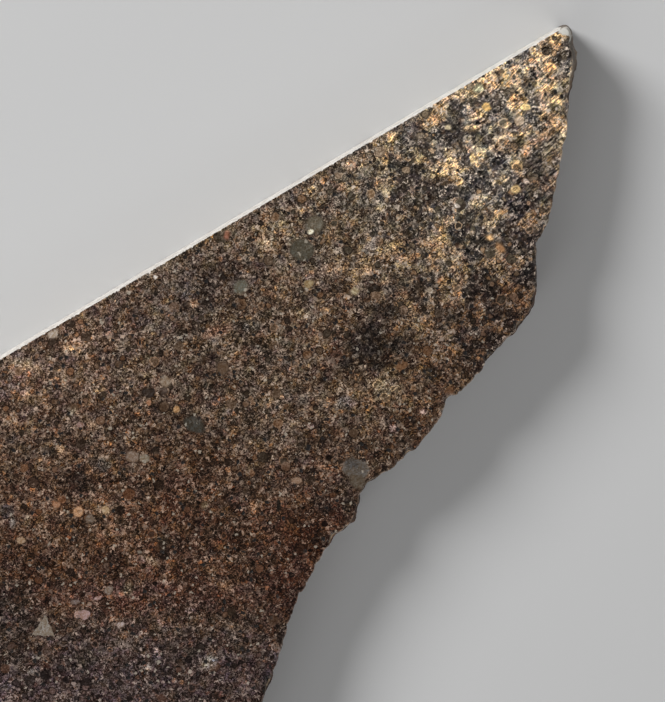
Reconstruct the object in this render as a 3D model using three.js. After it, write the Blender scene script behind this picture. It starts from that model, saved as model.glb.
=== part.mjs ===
// A part slice of a chondrite meteorite: a thin slab with a polished front face, a flat sawn
// back, one straight sawn edge, and the stone's own weathered rim all the way round the rest.
//
// Millimetres. +X runs along the sawn edge towards the slice's tip, +Y points out of the sawn
// edge and +Z out of the polished face. The slab lies on its back, and the origin is the centre
// of its bounding box's bottom.

import * as THREE from 'three';

// ---- driving dimensions ----

const THICKNESS = 6; // between the two saw cuts
const RIM_STEP = 0.5; // spacing of the facets along the natural rim
const FACETS_PER_EDGE_STEP = 4; // rim facets that share one step of the sawn edge
const CORNER_REACH = 1.5; // stretch at each end of the rim that turns into the sawn edge

// Heights of the rings of facets on the wall, as fractions of the thickness.
const LEVELS = [0, 0.12, 0.27, 0.43, 0.59, 0.75, 0.89, 1];

// The natural rim on the polished face, from the tip round to the far end of the sawn edge.
// The sharp corner of tip and sawn edge is the zero point, and the sawn edge is y = 0.
const RIM = [
  [-0.9, 0], [-0.35, -0.12], [-0.25, -0.6], [-0.6, -1.5], [-1.05, -2.4], [-1.35, -3.3],
  [-2.05, -4.1], [-2.9, -5.2], [-3.95, -6.8], [-4.8, -8.1], [-5.7, -9.1], [-7.0, -10.6],
  [-8.5, -12.3], [-9.8, -13.8], [-10.8, -14.7], [-11.9, -15.2], [-12.7, -16.2],
  [-13.3, -17.2], [-14.3, -18.8], [-15.2, -19.9], [-16.2, -20.6], [-17.5, -21.2],
  [-20.1, -21.9], [-21.6, -22.5], [-23.2, -23.2], [-25.1, -23.6], [-26.6, -23.8],
  [-27.3, -24.5], [-29.3, -25.4], [-31.6, -26.1], [-34.5, -26.45], [-36.4, -26.5],
  [-37.6, -27.1], [-38.5, -28.1], [-39.6, -28.8], [-41.4, -29.2], [-43.3, -30.1],
  [-45.1, -31.2], [-47.0, -32.3], [-48.8, -33.7], [-51.0, -35.8], [-53.4, -37.8],
  [-56.5, -40.3], [-59.2, -42.9], [-62.9, -44.8], [-66.3, -45.3], [-69.8, -46.6],
  [-74.6, -46.9], [-78.6, -45.6], [-82.3, -44.9], [-86.3, -42.1], [-89.2, -38.2],
  [-92.6, -35.0], [-94.4, -30.1], [-95.3, -25.6], [-97.1, -20.9], [-97.3, -15.6],
  [-95.9, -11.2], [-95.6, -6.3], [-94.1, -2.2], [-93.2, 0],
];

// How far the wall's foot stands out from the rim above it: a sum of smooth swells.
// at and wide are mm along the rim from the tip, out is mm at the foot.
const LEANS = [
  { at: 3, wide: 3.4, out: 0.85 },
  { at: 16, wide: 7, out: -0.8 },
  { at: 26, wide: 4, out: 0.5 },
  { at: 42, wide: 8, out: -1.0 },
  { at: 52, wide: 4, out: 0.5 },
  { at: 63, wide: 7, out: -0.7 },
  { at: 88, wide: 9, out: 0.9 },
  { at: 104, wide: 6, out: -0.9 },
  { at: 118, wide: 7, out: 0.6 },
  { at: 134, wide: 6, out: -0.6 },
];

// Thumb-mark hollows melted and weathered into the wall: at and wide are mm along the rim,
// height and tall are fractions of the thickness, deep is mm into the stone.
const HOLLOWS = [
  { at: 9, height: 0.45, wide: 2.6, tall: 0.3, deep: 0.45 },
  { at: 14.5, height: 0.2, wide: 2.2, tall: 0.3, deep: 0.5 },
  { at: 21, height: 0.55, wide: 1.8, tall: 0.22, deep: 0.45 },
  { at: 30.5, height: 0.3, wide: 3.2, tall: 0.33, deep: 0.7 },
  { at: 38, height: 0.55, wide: 2.4, tall: 0.25, deep: 0.4 },
  { at: 46, height: 0.25, wide: 3.0, tall: 0.3, deep: 0.6 },
  { at: 56.5, height: 0.5, wide: 2.6, tall: 0.3, deep: 0.55 },
  { at: 66, height: 0.2, wide: 3.4, tall: 0.3, deep: 0.75 },
  { at: 75, height: 0.55, wide: 3.0, tall: 0.28, deep: 0.6 },
  { at: 83, height: 0.3, wide: 3.4, tall: 0.35, deep: 0.8 },
  { at: 94, height: 0.6, wide: 2.6, tall: 0.22, deep: 0.5 },
  { at: 100, height: 0.2, wide: 2.6, tall: 0.28, deep: 0.6 },
  { at: 110, height: 0.45, wide: 3.6, tall: 0.33, deep: 0.8 },
  { at: 121, height: 0.25, wide: 2.8, tall: 0.3, deep: 0.55 },
  { at: 129, height: 0.6, wide: 2.4, tall: 0.24, deep: 0.5 },
  { at: 139, height: 0.35, wide: 2.8, tall: 0.3, deep: 0.55 },
];

// Ledges where a flake has come away: above its height the wall steps back by deep.
const LEDGES = [
  { at: 35, wide: 2.5, height: 0.62, deep: 0.35 },
  { at: 60.5, wide: 3.0, height: 0.4, deep: 0.4 },
  { at: 79, wide: 2.6, height: 0.66, deep: 0.4 },
  { at: 115, wide: 3.2, height: 0.35, deep: 0.45 },
];
const LEDGE_RISE = 0.07; // height over which a ledge steps back, as a fraction of the thickness

const BELLY = 0.3; // mm that the wall bulges at mid-height
const LUMP = 0.13; // mm, coarse lumps of the broken stone on the wall
const NICK = 0.06; // mm, small nicks in the rim seen from above

// ---- the wall's relief ----

// A smooth swell: 1 at its middle, fading to nothing over about twice its width.
const swell = (distance, width) => Math.exp(-((distance / width) ** 2));

// Coarse lumps: three crossed waves that never line up, between about -1 and 1.
function lumps(s, height) {
  const z = height * THICKNESS;
  return (
    0.45 * Math.sin(1.9 * s + 0.8 * z)
    + 0.35 * Math.sin(1.1 * s - 1.7 * z + 2.0)
    + 0.2 * Math.sin(3.1 * s + 2.3 * z + 0.7)
  );
}

// Nicks in the outline, the same at every height.
const nicks = (s) => Math.sin(2.3 * s) * Math.sin(0.37 * s + 1.0) + 0.6 * Math.sin(4.1 * s + 2.0);

// Distance in mm that the wall stands out from the rim on the polished face, for a place s mm
// along the rim and a height from 0 (back) to 1 (polished face), where it is always 0.
function wallRelief(s, height) {
  const below = 1 - height;
  const fade = 1 - height ** 4;
  let relief = BELLY * 4 * height * below + LUMP * lumps(s, height) * fade;
  for (const lean of LEANS) {
    relief += lean.out * below * swell(s - lean.at, lean.wide);
  }
  for (const hollow of HOLLOWS) {
    const across = swell(s - hollow.at, hollow.wide);
    relief -= hollow.deep * across * swell(height - hollow.height, hollow.tall) * fade;
  }
  for (const ledge of LEDGES) {
    const step = THREE.MathUtils.smoothstep(height, ledge.height, ledge.height + LEDGE_RISE);
    relief -= ledge.deep * swell(s - ledge.at, ledge.wide) * step * fade;
  }
  return relief;
}

// ---- the slice ----

// The rim as evenly spaced places: position, distance s from the tip, and the direction in
// which the wall swells there. At both ends that direction turns to lie along the sawn edge,
// so that the sawn edge stays flat.
function rimPlaces() {
  const curve = new THREE.CatmullRomCurve3(
    RIM.map(([x, y]) => new THREE.Vector3(x, y, 0)),
    false,
    'centripetal',
  );
  const length = curve.getLength();
  const steps = FACETS_PER_EDGE_STEP * Math.round(length / RIM_STEP / FACETS_PER_EDGE_STEP);
  const places = [];
  for (let i = 0; i <= steps; i += 1) {
    const u = i / steps;
    const s = u * length;
    const tangent = curve.getTangentAt(u);
    const outward = new THREE.Vector3(-tangent.y, Math.min(tangent.x, 0), 0);
    const alongEdge = new THREE.Vector3(u < 0.5 ? 1 : -1, 0, 0);
    const toEnd = Math.min(s, length - s);
    const free = THREE.MathUtils.smoothstep(toEnd, 0, CORNER_REACH);
    outward.lerp(alongEdge, 1 - free).normalize();
    const point = curve.getPointAt(u).addScaledVector(outward, NICK * nicks(s) * free);
    places.push({ point, s, outward });
  }
  return places;
}

// One closed ring of corners at a height: first the rim from the tip round, then back along
// the sawn edge to the tip.
function ringAt(height, places) {
  const rim = places.map(({ point, s, outward }) => {
    const corner = point.clone().addScaledVector(outward, wallRelief(s, height));
    return new THREE.Vector3(corner.x, Math.min(corner.y, 0), height * THICKNESS);
  });
  const edgeSteps = (places.length - 1) / FACETS_PER_EDGE_STEP;
  const edge = [];
  for (let k = edgeSteps - 1; k > 0; k -= 1) {
    edge.push(rim[0].clone().lerp(rim[rim.length - 1], k / edgeSteps));
  }
  return [...rim, ...edge];
}

// Corner indices of one flat face, as fans: each step of the sawn edge is joined to the few
// rim facets that lie across from it.
function capFaces(rimCount, ringCount) {
  const edgeSteps = (rimCount - 1) / FACETS_PER_EDGE_STEP;
  const edgeIndex = (k) => {
    if (k === 0) return 0;
    return k === edgeSteps ? rimCount - 1 : ringCount - k;
  };
  const faces = [];
  for (let k = 0; k < edgeSteps; k += 1) {
    // The first fan's hub is the tip and the last fan ends at the far corner, where the rim and
    // the edge share a corner, so each of the two has one face fewer.
    const hub = edgeIndex(k);
    const next = edgeIndex(k + 1);
    const first = k * FACETS_PER_EDGE_STEP;
    for (let j = first; j < first + FACETS_PER_EDGE_STEP; j += 1) {
      if (j !== hub) faces.push([hub, j + 1, j]);
    }
    const last = first + FACETS_PER_EDGE_STEP;
    if (last !== next) faces.push([hub, next, last]);
  }
  return faces;
}

function sliceGeometry() {
  const places = rimPlaces();
  const rings = LEVELS.map((height) => ringAt(height, places));
  const ringCount = rings[0].length;
  const positions = rings.flat().flatMap((corner) => corner.toArray());
  const indices = [];

  // The wall, two facets for each step and level.
  for (let level = 0; level < LEVELS.length - 1; level += 1) {
    for (let i = 0; i < ringCount; i += 1) {
      const low = level * ringCount + i;
      const lowNext = level * ringCount + ((i + 1) % ringCount);
      indices.push(low, low + ringCount, lowNext);
      indices.push(lowNext, low + ringCount, lowNext + ringCount);
    }
  }

  // The sawn back faces down and the polished front faces up.
  const topStart = (LEVELS.length - 1) * ringCount;
  for (const [a, b, c] of capFaces(places.length, ringCount)) {
    indices.push(a, c, b);
    indices.push(topStart + a, topStart + b, topStart + c);
  }

  const geometry = new THREE.BufferGeometry();
  geometry.setAttribute('position', new THREE.Float32BufferAttribute(positions, 3));
  geometry.setIndex(indices);
  geometry.computeBoundingBox();
  const { min, max } = geometry.boundingBox;
  geometry.translate(-(min.x + max.x) / 2, -(min.y + max.y) / 2, -min.z);
  geometry.computeVertexNormals();
  return geometry;
}

const stone = new THREE.MeshStandardMaterial({ color: 0x5a483b, roughness: 0.45, metalness: 0.1 });
const slice = new THREE.Mesh(sliceGeometry(), stone);
slice.name = 'slice';

const group = new THREE.Group();
group.add(slice);

export default group;
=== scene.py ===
from math import cos, radians, sin

import bpy
import numpy as np
from mathutils import Matrix, Vector


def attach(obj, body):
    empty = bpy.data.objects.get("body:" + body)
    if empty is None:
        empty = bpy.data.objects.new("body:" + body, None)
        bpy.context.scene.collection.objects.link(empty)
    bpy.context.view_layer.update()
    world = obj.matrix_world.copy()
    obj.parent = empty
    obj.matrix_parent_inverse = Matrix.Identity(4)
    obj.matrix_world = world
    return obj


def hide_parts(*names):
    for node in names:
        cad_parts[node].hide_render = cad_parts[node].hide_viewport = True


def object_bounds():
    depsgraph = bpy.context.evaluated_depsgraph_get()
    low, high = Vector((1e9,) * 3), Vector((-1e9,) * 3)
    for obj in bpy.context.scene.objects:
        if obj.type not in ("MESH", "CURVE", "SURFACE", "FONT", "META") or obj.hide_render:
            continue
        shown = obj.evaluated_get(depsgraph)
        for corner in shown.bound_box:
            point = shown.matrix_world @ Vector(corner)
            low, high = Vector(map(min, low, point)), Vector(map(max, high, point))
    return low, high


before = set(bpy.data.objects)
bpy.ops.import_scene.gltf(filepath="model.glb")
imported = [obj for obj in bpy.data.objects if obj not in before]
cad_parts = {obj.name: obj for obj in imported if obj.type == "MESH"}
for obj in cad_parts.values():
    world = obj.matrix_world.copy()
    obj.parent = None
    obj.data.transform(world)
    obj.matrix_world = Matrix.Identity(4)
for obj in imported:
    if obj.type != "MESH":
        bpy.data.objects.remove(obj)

cadLow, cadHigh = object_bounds()  # the CAD box, for the slab's size and place

mm = 0.001
rng = np.random.default_rng(7)

# Places on the slab are in mm from the sharp corner of tip and sawn edge: x along the sawn
# edge (the stone is at negative x), y out of it (the stone is at negative y).

slab = {
    "thickness": (cadHigh.z - cadLow.z) / mm,
    "rimSteps": 1120,  # columns from the tip round to the far end
    "wallSteps": 20, "wallGrading": 1.15,  # rows from back to front, and how much closer at the front
    "cornerReach": 1.5,  # stretch of rim that turns into the sawn edge
    "belly": 0.3, "lump": 0.13, "nick": 0.06,
    # the lumps' sines: share, radians a mm along the rim and up the wall, start
    "lumpWaves": [(0.45, 1.9, 0.8, 0), (0.35, 1.1, -1.7, 2.0), (0.2, 3.1, 2.3, 0.7)],
    "sharpAngle": 42,  # in degrees; edges that are sharper aren't shaded smooth
    "rim": [
        (-0.9, 0), (-0.35, -0.12), (-0.25, -0.6), (-0.6, -1.5), (-1.05, -2.4), (-1.35, -3.3),
        (-2.05, -4.1), (-2.9, -5.2), (-3.95, -6.8), (-4.8, -8.1), (-5.7, -9.1), (-7.0, -10.6),
        (-8.5, -12.3), (-9.8, -13.8), (-10.8, -14.7), (-11.9, -15.2), (-12.7, -16.2),
        (-13.3, -17.2), (-14.3, -18.8), (-15.2, -19.9), (-16.2, -20.6), (-17.5, -21.2),
        (-20.1, -21.9), (-21.6, -22.5), (-23.2, -23.2), (-25.1, -23.6), (-26.6, -23.8),
        (-27.3, -24.5), (-29.3, -25.4), (-31.6, -26.1), (-34.5, -26.45), (-36.4, -26.5),
        (-37.6, -27.1), (-38.5, -28.1), (-39.6, -28.8), (-41.4, -29.2), (-43.3, -30.1),
        (-45.1, -31.2), (-47.0, -32.3), (-48.8, -33.7), (-51.0, -35.8), (-53.4, -37.8),
        (-56.5, -40.3), (-59.2, -42.9), (-62.9, -44.8), (-66.3, -45.3), (-69.8, -46.6),
        (-74.6, -46.9), (-78.6, -45.6), (-82.3, -44.9), (-86.3, -42.1), (-89.2, -38.2),
        (-92.6, -35.0), (-94.4, -30.1), (-95.3, -25.6), (-97.1, -20.9), (-97.3, -15.6),
        (-95.9, -11.2), (-95.6, -6.3), (-94.1, -2.2), (-93.2, 0),
    ],
    # where along the rim, how wide, how far the foot stands out
    "leans": [
        (3, 3.4, 0.85), (16, 7, -0.8), (26, 4, 0.5), (42, 8, -1.0), (52, 4, 0.5),
        (63, 7, -0.7), (88, 9, 0.9), (104, 6, -0.9), (118, 7, 0.6), (134, 6, -0.6),
    ],
    # where along the rim, height, how wide, how tall, how deep
    "hollows": [
        (9, 0.45, 2.6, 0.3, 0.45), (14.5, 0.2, 2.2, 0.3, 0.5), (21, 0.55, 1.8, 0.22, 0.45),
        (30.5, 0.3, 3.2, 0.33, 0.7), (38, 0.55, 2.4, 0.25, 0.4), (46, 0.25, 3.0, 0.3, 0.6),
        (56.5, 0.5, 2.6, 0.3, 0.55), (66, 0.2, 3.4, 0.3, 0.75), (75, 0.55, 3.0, 0.28, 0.6),
        (83, 0.3, 3.4, 0.35, 0.8), (94, 0.6, 2.6, 0.22, 0.5), (100, 0.2, 2.6, 0.28, 0.6),
        (110, 0.45, 3.6, 0.33, 0.8), (121, 0.25, 2.8, 0.3, 0.55), (129, 0.6, 2.4, 0.24, 0.5),
        (139, 0.35, 2.8, 0.3, 0.55),
    ],
    # where along the rim, how wide, at what height, how deep
    "ledges": [
        (35, 2.5, 0.62, 0.35), (60.5, 3.0, 0.4, 0.4), (79, 2.6, 0.66, 0.4), (115, 3.2, 0.35, 0.45),
    ],
    "ledgeRise": 0.07,
}

# the broken surface's finest forms that are still modelled, in mm
fineStone = {
    "roughness": 0.035, "lumps": (1.1, 0.5),  # height, and the lengths of two uneven fields
    "knobs": 620, "knobSize": (0.22, 0.6), "knobHeight": 0.085,  # chondrules proud of the rim
    "pits": 240, "pitSize": (0.18, 0.5), "pitDepth": 0.11,
    "sunk": 0.05,  # how far all of it lies below the wall's large forms
    "calmFront": 0.6,  # how much calmer it is at the front arris, so the outline keeps its line
    "rimChip": 0.22, "rimChipLength": 3.2, "footChipLength": 3.6, "footChipShare": 0.6,
    "edgeChip": 0.17, "edgeChipLength": 1.6, "edgeChipReach": 0.15,
    "chipReach": 0.32,  # how far a chip reaches over the face
    "pocketWidth": (8, 3), "pocketDepth": 0.2,  # what counts as a hollow: steps each way, and mm
    "arrisReach": 2.0,  # how far from the front arris its distance is still kept
}


def smoothStep(value, low, high):
    # nought below low, one above high, and an S-curve between them
    t = np.clip((value - low) / (high - low), 0, 1)
    return t * t * (3 - 2 * t)


def swell(distance, width):
    # one in the middle, falling away as a bell over about twice the width
    return np.exp(-((distance / width) ** 2))


def curveThrough(points, perStretch=48):
    # a smooth curve through the points: on each stretch the cubic that blends the lines through
    # its two points and their two neighbours, with knots spaced by the root of the distances
    p = np.array(points, float)
    p = np.vstack([2 * p[0] - p[1], p, 2 * p[-1] - p[-2]])
    a, b, c, d = (p[i:len(p) - 3 + i, None, :] for i in range(4))
    knot = [np.zeros((len(p) - 3, 1, 1))]
    for low, high in ((a, b), (b, c), (c, d)):
        knot.append(knot[-1] + np.sqrt(np.linalg.norm(high - low, axis=2, keepdims=True)))
    t = knot[1] + (knot[2] - knot[1]) * (np.arange(perStretch) / perStretch)[None, :, None]

    def between(low, high, start, end):
        # on the line through both places, as far along as t is between their knots
        return low * (end - t) / (end - start) + high * (t - start) / (end - start)

    ab, bc, cd = between(a, b, *knot[:2]), between(b, c, *knot[1:3]), between(c, d, *knot[2:])
    abc, bcd = between(ab, bc, knot[0], knot[2]), between(bc, cd, knot[1], knot[3])
    curve = between(abc, bcd, knot[1], knot[2]).reshape(-1, 2)
    return np.vstack([curve, p[-2]])


def evenly(curve, count):
    # the curve again, with its points the same distance apart, and that distance for each
    along = np.concatenate([[0], np.cumsum(np.linalg.norm(np.diff(curve, axis=0), axis=1))])
    s = np.linspace(0, along[-1], count)
    return np.stack([np.interp(s, along, curve[:, k]) for k in (0, 1)], 1), s


def waves(places, wavelength, count=24):
    # an uneven field: sines of random heading, length and phase, scaled to spread about one
    heading = rng.normal(size=(count, places.shape[-1]))
    heading /= np.linalg.norm(heading, axis=1, keepdims=True)
    pull = 2 * np.pi / (wavelength * rng.uniform(0.6, 1.7, (count, 1)))
    phase = rng.uniform(0, 2 * np.pi, count)
    return np.sin(places @ (heading * pull).T + phase).sum(-1) / np.sqrt(count / 2)


def domes(s, z, count, sizes, length):
    # rounded bumps scattered over the wall: each rises as one minus the squared distance
    # from its middle over its radius, and the highest one counts
    at = np.stack([rng.uniform(0, length, count), rng.uniform(0, slab["thickness"], count)], 1)
    radius = rng.uniform(*sizes, count)
    height = np.zeros(s.shape)
    for (x, y), r in zip(at, radius):
        near = np.abs(s - x) < r
        d = ((s[near] - x) ** 2 + (z[near] - y) ** 2) / r ** 2
        height[near] = np.maximum(height[near], np.clip(1 - d, 0, 1) * r / sizes[1])
    return height


def wallRelief(s, h):
    # how far the wall stands out from the rim on the polished face, at s mm along the rim and
    # a height h from nought (back) to one (front): a bulge as 4h(1 - h), sines for the lumps,
    # leans that grow towards the back, bell-shaped hollows, and ledges that are S-curved steps
    z = h * slab["thickness"]
    fade = 1 - h ** 4
    lumps = sum(a * np.sin(along * s + up * z + start) for a, along, up, start in slab["lumpWaves"])
    relief = slab["belly"] * 4 * h * (1 - h) + slab["lump"] * lumps * fade
    for at, wide, out in slab["leans"]:
        relief += out * (1 - h) * swell(s - at, wide)
    for at, height, wide, tall, deep in slab["hollows"]:
        relief -= deep * swell(s - at, wide) * swell(h - height, tall) * fade
    for at, wide, height, deep in slab["ledges"]:
        step = smoothStep(h, height, height + slab["ledgeRise"])
        relief -= deep * swell(s - at, wide) * step * fade
    return relief


def chips(s, wavelength, deepest):
    # depth of the flakes lost along an arris: the tops of an uneven field, and of one four times
    # as fine, added up and cut off at the deepest
    big = np.clip(waves(s[:, None], wavelength) - 0.9, 0, 1.4)
    small = np.clip(waves(s[:, None], wavelength / 4) - 0.6, 0, 1.2)
    return deepest * np.clip(0.75 * big + 0.35 * small, 0, 1)


def makeOutline():
    # the rim's places, the way each one faces, and how free it is of the sawn edge's plane. It
    # faces square to the curve but never into +y, turns along the edge at both ends, and small
    # nicks, products of sines, move it in and out
    curve, s = evenly(curveThrough(slab["rim"]), slab["rimSteps"] + 1)
    tangent = np.gradient(curve, axis=0)
    outward = np.stack([-tangent[:, 1], np.minimum(tangent[:, 0], 0)], 1)
    outward /= np.linalg.norm(outward, axis=1, keepdims=True)
    alongEdge = np.where(s[:, None] < s[-1] / 2, (1.0, 0.0), (-1.0, 0.0))
    free = smoothStep(np.minimum(s, s[-1] - s), 0, slab["cornerReach"])
    outward = alongEdge * (1 - free[:, None]) + outward * free[:, None]
    outward /= np.linalg.norm(outward, axis=1, keepdims=True)
    nicks = np.sin(2.3 * s) * np.sin(0.37 * s + 1.0) + 0.6 * np.sin(4.1 * s + 2.0)
    curve = curve + outward * (slab["nick"] * nicks * free)[:, None]
    return curve, s, outward, free


def graded(lengths, near, middle):
    # for each length, distances from nought to it: fine steps at both ends and even ones
    # between, with the fine steps shrunk where the length is short
    near = np.array(near)[None, :] * np.minimum(1, lengths / (3 * near[-1]))[:, None]
    inner = np.linspace(0, 1, middle + 2)[1:-1][None, :]
    low, high = near[:, -1:], lengths[:, None] - near[:, -1:]
    return np.hstack([near, low + (high - low) * inner, (lengths[:, None] - near)[:, ::-1]])


def hollowness(out):
    # how far each place of the wall lies below the mean of its surroundings, from minus one on
    # a knob to one in a pocket
    across, up = fineStone["pocketWidth"]
    framed = np.pad(out, ((across, across), (up, up)), mode="edge")
    around = np.lib.stride_tricks.sliding_window_view(framed, (2 * across + 1, 2 * up + 1))
    return np.clip((around.mean((2, 3)) - out) / fineStone["pocketDepth"], -1, 1)


def makeSlabGrids():
    # four grids that share their borders: the polished front, the sawn back, the rim's wall and
    # the sawn edge's wall. Each point is x, y, z, how hollow it is, and how far the front arris
    thick = slab["thickness"]
    rim, s, outward, free = makeOutline()
    h = 1 - (1 - np.linspace(0, 1, slab["wallSteps"] + 1)) ** slab["wallGrading"]
    sGrid, hGrid = np.meshgrid(s, h, indexing="ij")
    zGrid = hGrid * thick
    places = np.stack([sGrid, zGrid * 1.3], 2)

    f = fineStone
    fine = f["roughness"] * (waves(places, f["lumps"][0]) + 0.6 * waves(places, f["lumps"][1]))
    fine += f["knobHeight"] * domes(sGrid, zGrid, f["knobs"], f["knobSize"], s[-1])
    fine -= f["pitDepth"] * domes(sGrid, zGrid, f["pits"], f["pitSize"], s[-1])
    rimChip = chips(s, f["rimChipLength"], f["rimChip"]) * free
    footChip = chips(s, f["footChipLength"], f["rimChip"]) * free
    fine = fine * free[:, None] - f["sunk"] * free[:, None]
    fine *= 1 - f["calmFront"] * hGrid ** 6
    fine -= rimChip[:, None] * np.exp(-(1 - hGrid) * thick / f["chipReach"])
    fine -= footChip[:, None] * np.exp(-hGrid * thick / f["chipReach"])

    out = wallRelief(sGrid, hGrid) + fine
    wall = rim[:, None, :] + outward[:, None, :] * out[:, :, None]
    wall[:, :, 1] = np.minimum(wall[:, :, 1], 0)
    wallZ = zGrid.copy()
    wallZ[:, -1] -= rimChip
    wallZ[:, 0] += footChip * f["footChipShare"]

    # the sawn edge: straight between the rim's two ends at every height, with its own chips
    t = (s / s[-1])[:, None]
    edgeX = wall[:1, :, 0] * (1 - t) + wall[-1:, :, 0] * t
    edgeChip = chips(s, f["edgeChipLength"], f["edgeChip"]) * free
    edgeY = -edgeChip[:, None] * np.exp(-(1 - hGrid) * thick / f["edgeChipReach"])
    edgeZ = zGrid.copy()
    edgeZ[:, -1] -= edgeChip
    farOff = np.full(sGrid.shape, f["arrisReach"])
    rimWall = np.dstack([wall, wallZ, hollowness(out), np.clip(thick - zGrid, 0, farOff)])
    edgeWall = np.dstack([edgeX, edgeY, edgeZ, 0 * farOff, farOff])

    def face(row, chipA, chipB, up, near, middle):
        # a flat face spanned between the two walls, dipping where an arris is chipped
        a, b = edgeWall[:, row], rimWall[:, row]
        span = np.linalg.norm((b - a)[:, :2], axis=1)
        d = graded(span, near, middle)
        part = d / np.maximum(span, 1e-9)[:, None]
        grid = a[:, None, :] * (1 - part[:, :, None]) + b[:, None, :] * part[:, :, None]
        slope = np.minimum(f["chipReach"], np.maximum(span, 1e-6) / 4)[:, None]
        dip = chipA[:, None] * np.exp(-d / slope)
        dip = dip + chipB[:, None] * np.exp((d - span[:, None]) / slope)
        flat = thick - dip if up else dip
        grid[:, 1:-1, 2] = flat[:, 1:-1]
        if up:
            grid[:, :, 4] = np.clip(span[:, None] - d, 0, f["arrisReach"])
        return grid

    front = face(-1, edgeChip, rimChip, True, (0, 0.07, 0.16, 0.28, 0.45, 0.8), 12)
    back = face(0, 0 * s, footChip * f["footChipShare"], False, (0, 0.15, 0.4, 0.9), 8)
    return {"front": front, "back": back, "rim": rimWall, "edge": edgeWall}, s


# how the surface is unwrapped on a square, in mm
unwrapped = {
    "square": 101.5,  # with 1024 pixels a side, the front has about 0.097 mm a pixel
    "margin": 0.6,
    "front": (1.0, 0.6), "back": (0.72, 50.0),  # scale, and how far up the square
    "rim": (99.5, 0.75, 86.2),  # length, scale of its height, how far up
    "edge": 92.6,
}


def bakeLayout(grids, s):
    # where each grid lies on the unwrapped square: the faces by their x and y, the rim's wall
    # by s and height, the sawn edge by x and height
    square, margin = unwrapped["square"], unwrapped["margin"]
    low = grids["front"].reshape(-1, 5).min(0)
    place = {}
    for name in ("front", "back"):
        scale, up = unwrapped[name]
        place[name] = ((grids[name][:, :, :2] - low[:2]) * scale + (margin, up)) / square
    length, scale, up = unwrapped["rim"]
    sGrid = np.repeat(s[:, None], grids["rim"].shape[1], 1)
    height = grids["rim"][:, :, 2]
    place["rim"] = np.stack([margin + sGrid * length / s[-1], up + height * scale], 2) / square
    along = grids["edge"][:, :, 0] - grids["edge"][:, :, 0].min()
    place["edge"] = np.stack([margin + along, unwrapped["edge"] + grids["edge"][:, :, 2]], 2) / square
    return place


def buildSlab():
    # the four grids as one closed skin: each square of a grid is cut into two triangles, and
    # points at the same place become one
    grids, s = makeSlabGrids()
    layout = bakeLayout(grids, s)
    slots = {"front": 0, "edge": 1, "back": 2, "rim": 3}
    flipped = {"front": False, "back": True, "rim": False, "edge": True}
    points, spots, triangles, slotOf = [], [], [], []
    start = 0
    for name, grid in grids.items():
        columns, rows = grid.shape[:2]
        index = start + np.arange(columns * rows).reshape(columns, rows)
        a, b, c, d = index[:-1, :-1], index[1:, :-1], index[1:, 1:], index[:-1, 1:]
        both = np.stack([np.stack([a, d, c], -1), np.stack([a, c, b], -1)], 2).reshape(-1, 3)
        if flipped[name]:
            both = both[:, ::-1]
        points.append(grid.reshape(-1, 5))
        spots.append(layout[name].reshape(-1, 2))
        triangles.append(both)
        slotOf.append(np.full(len(both), slots[name]))
        start += columns * rows
    points, spots = np.vstack(points), np.vstack(spots)
    triangles, slotOf = np.vstack(triangles), np.concatenate(slotOf)

    # the grids' shared borders become one vertex each, and faces with no width go
    keys = np.round(points[:, :3] * 1e5).astype(np.int64)
    _, first, welded = np.unique(keys, axis=0, return_index=True, return_inverse=True)
    welded = welded.reshape(-1)
    corners = welded[triangles]
    wide = (corners != np.roll(corners, 1, axis=1)).all(1)
    corners, triangles, slotOf = corners[wide], triangles[wide], slotOf[wide]
    return points[first, :3], points[first, 3:], corners, spots[triangles.reshape(-1)], slotOf


def placeInFrame(points):
    # from mm measured at the sharp corner to metres in the frame: the sawn edge and the farthest
    # point at the tip touch the CAD box, and nothing passes it
    curve, s, outward, _ = makeOutline()
    heights = np.linspace(0, 1, 9)[None, :]
    ring = curve[:, None, :] + outward[:, None, :] * wallRelief(s[:, None], heights)[:, :, None]
    high = ring.reshape(-1, 2).max(0)
    zero = np.array([cadHigh.x / mm - high[0], cadHigh.y / mm, cadLow.z / mm])
    return np.clip((points + zero) * mm, cadLow, cadHigh), zero


print("slab: working out the surface")
points, extras, corners, spots, slotOf = buildSlab()
points, zero = placeInFrame(points)
print("slab:", len(points), "vertices,", len(corners), "triangles; corner at", zero.round(3))


def makeMesh(name, points, extras, corners, spots, slotOf):
    # vertices and triangles as they are, with the unwrapped places and the two attributes
    mesh = bpy.data.meshes.new(name)
    mesh.vertices.add(len(points))
    mesh.vertices.foreach_set("co", points.astype(np.float32).ravel())
    mesh.loops.add(corners.size)
    mesh.loops.foreach_set("vertex_index", corners.astype(np.int32).ravel())
    mesh.polygons.add(len(corners))
    mesh.polygons.foreach_set("loop_start", np.arange(0, corners.size, 3, dtype=np.int32))
    mesh.polygons.foreach_set("material_index", slotOf.astype(np.int32))
    mesh.update(calc_edges=True)
    mesh.uv_layers.new(name="OFBake").uv.foreach_set("vector", spots.astype(np.float32).ravel())
    for column, label in enumerate(("hollow", "arris")):
        made = mesh.attributes.new(label, "FLOAT", "POINT")
        made.data.foreach_set("value", extras[:, column].astype(np.float32))
    mesh.shade_smooth()
    mesh.set_sharp_from_angle(angle=radians(slab["sharpAngle"]))
    return mesh


slabMesh = makeMesh("chondriteSlice", points, extras, corners, spots, slotOf)
piece = bpy.data.objects.new("chondriteSlice", slabMesh)
bpy.context.scene.collection.objects.link(piece)
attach(piece, "root")
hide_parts("slice")

# Colours are picked as they look on a screen and turned linear at the end of each material.


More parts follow.
